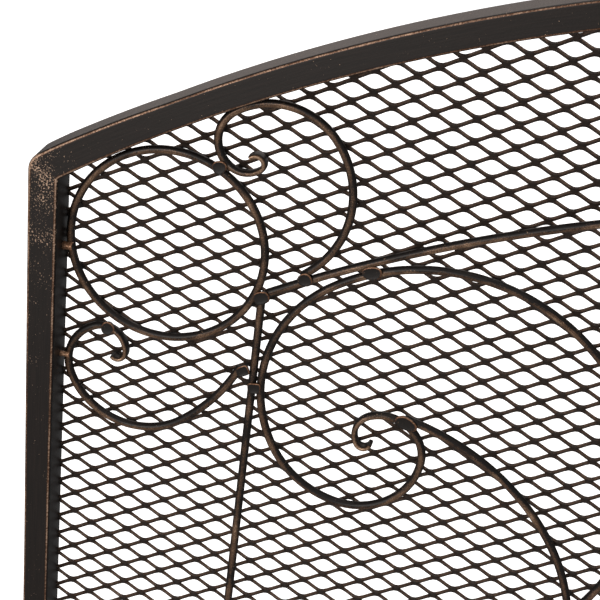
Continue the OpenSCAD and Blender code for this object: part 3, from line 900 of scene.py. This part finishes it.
def foot(name, side):
    """A flat bar's rounded section carried along the bent line, front and back. At both ends one more
    ring, a little smaller, eases the cut edge."""
    half, turn = foot_line()
    line = np.concatenate([half[:0:-1] * (-1, 1), half])
    heading = np.radians(np.concatenate([-turn[:0:-1], turn]))
    bar, bar_round = box_section(foot_w, FOOT_T, FOOT_EDGE)
    ends = [0, *range(len(line)), len(line) - 1]
    shrink = np.ones((len(ends), 1, 1))
    shrink[[0, -1]] = 1 - 2 * FOOT_END_IN / foot_w
    across = bar * shrink
    line = line[ends]
    heading = heading[ends]
    normal = np.stack([-np.sin(heading), np.cos(heading)], 1)
    place = line[:, None] + normal[:, None] * across[..., 1:]
    middle = side * (HALF_W - TUBE_W / 2)
    rings = np.stack([middle + across[..., 0], place[..., 0], place[..., 1]], 2)
    along = np.concatenate([[0], np.cumsum(np.linalg.norm(np.diff(line, axis=0), axis=1))])
    along += np.linspace(0, 1e-4, len(line))
    return swept(name, rings, along, bar_round, np.tile(PLAIN_EDGE, 4), 0.0)


for side, hand in ((-1, "left"), (1, "right")):
    piece = foot(f"{hand}_foot_bar", side)
    fitted(piece, tube_finish, f"{hand}_foot")

# --- Fasteners and rubber pads ----------------------------------------------------------------
# A blackened hex bolt and washer hold each foot to the plug in its post, which is pressed in. The
# four pads are moulded rubber discs, glued under the ends of the feet.
bolt_low, bolt_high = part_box("foot_bolts")
washer_low, washer_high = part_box("foot_washers")
pad_low, pad_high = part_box("rubber_pads")
HEAD_T = 4 * MM
HEAD_R = 11 / 2 * MM
BOLT_R = 3 * MM
WASHER_R = 6 * MM
RUBBER_R = 9 * MM
BOLT_CHAMFER = 0.6 * MM


def lathed(name, centre, profile, sides, corners=0):
    """Circles stacked in z from (height, radius) pairs. With corners set, each circle wider than the
    bolt is cut by a polygon of that many sides: radius = the smaller of the circle's and the flat's
    distance. A polygon's faces are shaded flat."""
    profile = np.array(profile)
    turn = 2 * np.pi * np.arange(sides) / sides
    radius = np.broadcast_to(profile[:, 1:], (len(profile), sides))
    if corners:
        wedge = np.pi / corners
        flat = HEAD_R / np.cos(np.mod(turn + wedge, 2 * wedge) - wedge)
        radius = np.where(radius > BOLT_R * 1.05, np.minimum(radius, flat), radius)
    x, y = centre[0] + radius * np.cos(turn), centre[1] + radius * np.sin(turn)
    rings = np.stack(np.broadcast_arrays(x, y, profile[:, :1]), 2)
    around = np.arange(sides + 1) / sides * 2 * np.pi * profile[:, 1].max()
    return swept(name, rings, profile[:, 0], around, 0.0, 0.0, smooth=not corners)


def speckled(name, dark, light, grains_a_metre, detail, shader):
    """A material whose colour goes from dark to light and back with a fine noise."""
    material = empty_material(name)
    place = add_node(material, "ShaderNodeTexCoord").outputs["Object"]
    settings = {"Vector": place, "Scale": grains_a_metre, "Detail": detail}
    grain = add_node(material, "ShaderNodeTexNoise", inputs=settings).outputs["Fac"]
    colours = {0: grain, 6: linear(dark), 7: linear(light)}
    colour = add_node(material, "ShaderNodeMix", {"data_type": "RGBA"}, colours).outputs[2]
    close_material(material, {"Base Color": colour, **shader})
    return material


# Steel blackened with zinc phosphate: dark and half bright. The crystals are far finer than the
# 1.4 mm grain drawn here, which is as coarse as it needs to show.
steel_shine = {"Metallic": 0.8, "Roughness": 0.45}
steel_finish = speckled("blackened_steel_zinc_phosphate", "#1b1a19", "#3a3735", 700.0, 3.0, steel_shine)
# Moulded rubber: matte black, mottled about every 0.7 mm by the mould.
rubber_finish = speckled("moulded_rubber", "#141414", "#242322", 1500.0, 2.0, {"Roughness": 0.75})

for side, hand in ((-1, "left"), (1, "right")):
    middle = (side * (HALF_W - TUBE_W / 2), 0.0)
    low = bolt_low.z
    # The head's rounded face and chamfered corners, which reach out to 1.16 times its half width.
    bolt_profile = [
        (low, HEAD_R * 0.86),
        (low + 0.2 * MM, HEAD_R * 0.97),
        (low + BOLT_CHAMFER, HEAD_R * 1.16),
        (low + HEAD_T - 0.1 * MM, HEAD_R * 1.16),
        (low + HEAD_T, HEAD_R),
        (low + HEAD_T, BOLT_R),
        (bolt_high.z - BOLT_CHAMFER, BOLT_R),
        (bolt_high.z, BOLT_R * 0.8),
    ]
    piece = lathed(f"{hand}_foot_bolt", middle, bolt_profile, 48, corners=6)
    fitted(piece, steel_finish, "foot_bolts")
    low, high = washer_low.z, washer_high.z
    washer_profile = [
        (low, BOLT_R),
        (low, WASHER_R - 0.3 * MM),
        (low + 0.2 * MM, WASHER_R),
        (high - 0.2 * MM, WASHER_R),
        (high, WASHER_R - 0.2 * MM),
        (high, BOLT_R),
    ]
    piece = lathed(f"{hand}_foot_washer", middle, washer_profile, 40)
    fitted(piece, steel_finish, "foot_washers")
    for front in (-1, 1):
        centre = (middle[0], front * (pad_high.y - RUBBER_R))
        rubber_profile = [
            (pad_low.z, RUBBER_R - 1.6 * MM),
            (pad_low.z, RUBBER_R - 0.9 * MM),
            (pad_low.z + 0.5 * MM, RUBBER_R - 0.2 * MM),
            (pad_low.z + 1.2 * MM, RUBBER_R),
            (pad_high.z - 0.5 * MM, RUBBER_R),
            (pad_high.z, RUBBER_R - 0.4 * MM),
        ]
        end_name = "front" if front < 0 else "back"
        piece = lathed(f"{hand}_{end_name}_rubber_pad", centre, rubber_profile, 40)
        fitted(piece, rubber_finish, "rubber_pads")

# The plugs are seen only from below, so the CAD's own take the steel's finish.
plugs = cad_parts["post_plugs"]
plugs.data.materials.clear()
plugs.data.materials.append(steel_finish)
